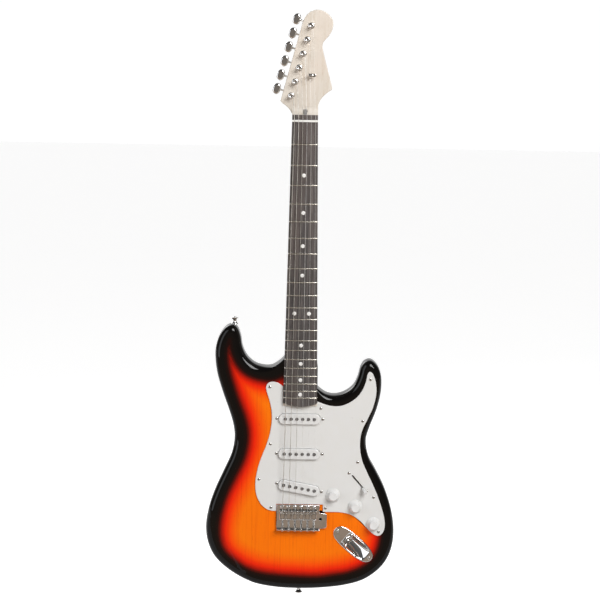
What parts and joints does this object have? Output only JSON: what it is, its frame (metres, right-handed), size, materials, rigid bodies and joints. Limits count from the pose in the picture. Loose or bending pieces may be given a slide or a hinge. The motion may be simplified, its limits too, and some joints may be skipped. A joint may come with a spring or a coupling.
{
  "type": "electric guitar",
  "caption": "Solid-body double-cutaway electric guitar with bolt-on neck, inline tuners, pickguard with pickups and controls, and a sprung tremolo bridge.",
  "frame": {"origin": "on the centre line at the nut's front edge, in the plane of the body's front face", "axes": "+Z along the neck towards the headstock, +X towards the treble side, -Y out of the front of the guitar"},
  "size_m": [0.316, 0.0658, 0.9767],
  "materials": {
    "burst_lacquer": "three-colour sunburst under clear gloss lacquer",
    "maple": "satin lacquered maple",
    "rosewood": "oiled open-grained rosewood",
    "fret_wire": "polished nickel silver",
    "pearl": "pearloid",
    "bone": "polished synthetic bone",
    "guard_plastic": "white satin-gloss vinyl",
    "cover_plastic": "white moulded plastic",
    "knob_plastic": "white moulded plastic",
    "chrome": "polished chrome plate",
    "screw_steel": "nickel-plated steel",
    "steel": "plated steel",
    "string_steel": "plain and nickel-wound steel",
    "coil": "black fibre flatwork with copper windings",
    "wire": "cloth-covered wire"
  },
  "bodies": {
    "guitar": {"body": "burst_lacquer", "neck": "maple", "fretboard": "rosewood", "frets": "fret_wire", "fret_markers": "pearl", "nut": "bone", "truss_rod": "steel", "pickguard": "guard_plastic", "plate_screws": "screw_steel", "neck_plate": "chrome", "neck_screws": "screw_steel", "strap_buttons": "chrome", "strap_button_screws": "screw_steel", "jack_plate": "chrome", "output_jack": "steel", "back_cover": "guard_plastic", "spring_claw": "steel", "claw_screws": "steel", "tremolo_springs": "steel", "tremolo_pivot_screws": "chrome", "pickup_covers": "cover_plastic", "pickup_coils": "coil", "pickup_poles": "steel", "machine_screws": "screw_steel", "pickup_springs": "steel", "switch_frame": "steel", "pot_cases": "steel", "wiring": "wire", "tuner_housings": "chrome", "tuner_bushings": "chrome", "tuner_screws": "screw_steel", "string_tree": "chrome", "strings": "string_steel"},
    "tremolo": {"tremolo_plate": "chrome", "tremolo_block": "steel", "block_screws": "screw_steel", "intonation_screws": "screw_steel", "intonation_springs": "steel"},
    "saddle_1_body": {"saddle_1": "chrome"},
    "saddle_2_body": {"saddle_2": "chrome"},
    "saddle_3_body": {"saddle_3": "chrome"},
    "saddle_4_body": {"saddle_4": "chrome"},
    "saddle_5_body": {"saddle_5": "chrome"},
    "saddle_6_body": {"saddle_6": "chrome"},
    "switch": {"switch_lever": "knob_plastic"},
    "volume_knob_body": {"volume_knob": "knob_plastic"},
    "tone_knob_1_body": {"tone_knob_1": "knob_plastic"},
    "tone_knob_2_body": {"tone_knob_2": "knob_plastic"},
    "tuner_key_1_body": {"tuner_key_1": "chrome"},
    "tuner_post_1_body": {"tuner_post_1": "chrome"},
    "tuner_key_2_body": {"tuner_key_2": "chrome"},
    "tuner_post_2_body": {"tuner_post_2": "chrome"},
    "tuner_key_3_body": {"tuner_key_3": "chrome"},
    "tuner_post_3_body": {"tuner_post_3": "chrome"},
    "tuner_key_4_body": {"tuner_key_4": "chrome"},
    "tuner_post_4_body": {"tuner_post_4": "chrome"},
    "tuner_key_5_body": {"tuner_key_5": "chrome"},
    "tuner_post_5_body": {"tuner_post_5": "chrome"},
    "tuner_key_6_body": {"tuner_key_6": "chrome"},
    "tuner_post_6_body": {"tuner_post_6": "chrome"}
  },
  "joints": [
    {"name": "tremolo_rock", "type": "hinge", "parent": "guitar", "child": "tremolo", "pos_m": [0, -0.0039, -0.6382], "axis": [-1, 0, 0], "range_deg": [-3, 12], "stiffness_Nm_per_rad": 30, "deforming": ["strings", "tremolo_springs"]},
    {"name": "saddle_1_slide", "type": "slide", "parent": "tremolo", "child": "saddle_1_body", "axis": [0, 0, 1], "range_m": [-0.003, 0.003], "deforming": ["intonation_springs"]},
    {"name": "saddle_2_slide", "type": "slide", "parent": "tremolo", "child": "saddle_2_body", "axis": [0, 0, 1], "range_m": [-0.003, 0.003]},
    {"name": "saddle_3_slide", "type": "slide", "parent": "tremolo", "child": "saddle_3_body", "axis": [0, 0, 1], "range_m": [-0.003, 0.003]},
    {"name": "saddle_4_slide", "type": "slide", "parent": "tremolo", "child": "saddle_4_body", "axis": [0, 0, 1], "range_m": [-0.003, 0.003]},
    {"name": "saddle_5_slide", "type": "slide", "parent": "tremolo", "child": "saddle_5_body", "axis": [0, 0, 1], "range_m": [-0.003, 0.003]},
    {"name": "saddle_6_slide", "type": "slide", "parent": "tremolo", "child": "saddle_6_body", "axis": [0, 0, 1], "range_m": [-0.003, 0.003]},
    {"name": "switch_swing", "type": "hinge", "parent": "guitar", "child": "switch", "pos_m": [0.0986, 0.016, -0.5969], "axis": [0.7547, 0, 0.6561], "range_deg": [-64, 0]},
    {"name": "volume_knob_turn", "type": "hinge", "parent": "guitar", "child": "volume_knob_body", "pos_m": [0.0576, -0.003, -0.6195], "axis": [0, -1, 0], "range_deg": [0, 290]},
    {"name": "tone_knob_1_turn", "type": "hinge", "parent": "guitar", "child": "tone_knob_1_body", "pos_m": [0.0952, -0.003, -0.6383], "axis": [0, -1, 0], "range_deg": [0, 290]},
    {"name": "tone_knob_2_turn", "type": "hinge", "parent": "guitar", "child": "tone_knob_2_body", "pos_m": [0.1261, -0.003, -0.6678], "axis": [0, -1, 0], "range_deg": [0, 290]},
    {"name": "tuner_key_1_turn", "type": "hinge", "parent": "guitar", "child": "tuner_key_1_body", "pos_m": [0.00878, 0.0215, 0.15974], "axis": [-0.965, 0, 0.2622], "continuous": true},
    {"name": "tuner_post_1_turn", "type": "hinge", "parent": "guitar", "child": "tuner_post_1_body", "pos_m": [0.0076, 0, 0.1554], "axis": [0, -1, 0], "continuous": true},
    {"name": "tuner_key_2_turn", "type": "hinge", "parent": "guitar", "child": "tuner_key_2_body", "pos_m": [0.00262, 0.0215, 0.13706], "axis": [-0.965, 0, 0.2622], "continuous": true},
    {"name": "tuner_post_2_turn", "type": "hinge", "parent": "guitar", "child": "tuner_post_2_body", "pos_m": [0.00144, 0, 0.13272], "axis": [0, -1, 0], "continuous": true},
    {"name": "tuner_key_3_turn", "type": "hinge", "parent": "guitar", "child": "tuner_key_3_body", "pos_m": [-0.00354, 0.0215, 0.11439], "axis": [-0.965, 0, 0.2622], "continuous": true},
    {"name": "tuner_post_3_turn", "type": "hinge", "parent": "guitar", "child": "tuner_post_3_body", "pos_m": [-0.00472, 0, 0.11004], "axis": [0, -1, 0], "continuous": true},
    {"name": "tuner_key_4_turn", "type": "hinge", "parent": "guitar", "child": "tuner_key_4_body", "pos_m": [-0.0097, 0.0215, 0.09171], "axis": [-0.965, 0, 0.2622], "continuous": true},
    {"name": "tuner_post_4_turn", "type": "hinge", "parent": "guitar", "child": "tuner_post_4_body", "pos_m": [-0.01088, 0, 0.08737], "axis": [0, -1, 0], "continuous": true},
    {"name": "tuner_key_5_turn", "type": "hinge", "parent": "guitar", "child": "tuner_key_5_body", "pos_m": [-0.01587, 0.0215, 0.06903], "axis": [-0.965, 0, 0.2622], "continuous": true},
    {"name": "tuner_post_5_turn", "type": "hinge", "parent": "guitar", "child": "tuner_post_5_body", "pos_m": [-0.01705, 0, 0.06469], "axis": [0, -1, 0], "continuous": true},
    {"name": "tuner_key_6_turn", "type": "hinge", "parent": "guitar", "child": "tuner_key_6_body", "pos_m": [-0.02203, 0.0215, 0.04635], "axis": [-0.965, 0, 0.2622], "continuous": true},
    {"name": "tuner_post_6_turn", "type": "hinge", "parent": "guitar", "child": "tuner_post_6_body", "pos_m": [-0.02321, 0, 0.04201], "axis": [0, -1, 0], "continuous": true}
  ],
  "couplings": [
    {"joint": "tuner_post_1_turn", "follows": "tuner_key_1_turn", "ratio": 0.066667},
    {"joint": "tuner_post_2_turn", "follows": "tuner_key_2_turn", "ratio": 0.066667},
    {"joint": "tuner_post_3_turn", "follows": "tuner_key_3_turn", "ratio": 0.066667},
    {"joint": "tuner_post_4_turn", "follows": "tuner_key_4_turn", "ratio": 0.066667},
    {"joint": "tuner_post_5_turn", "follows": "tuner_key_5_turn", "ratio": 0.066667},
    {"joint": "tuner_post_6_turn", "follows": "tuner_key_6_turn", "ratio": 0.066667}
  ]
}
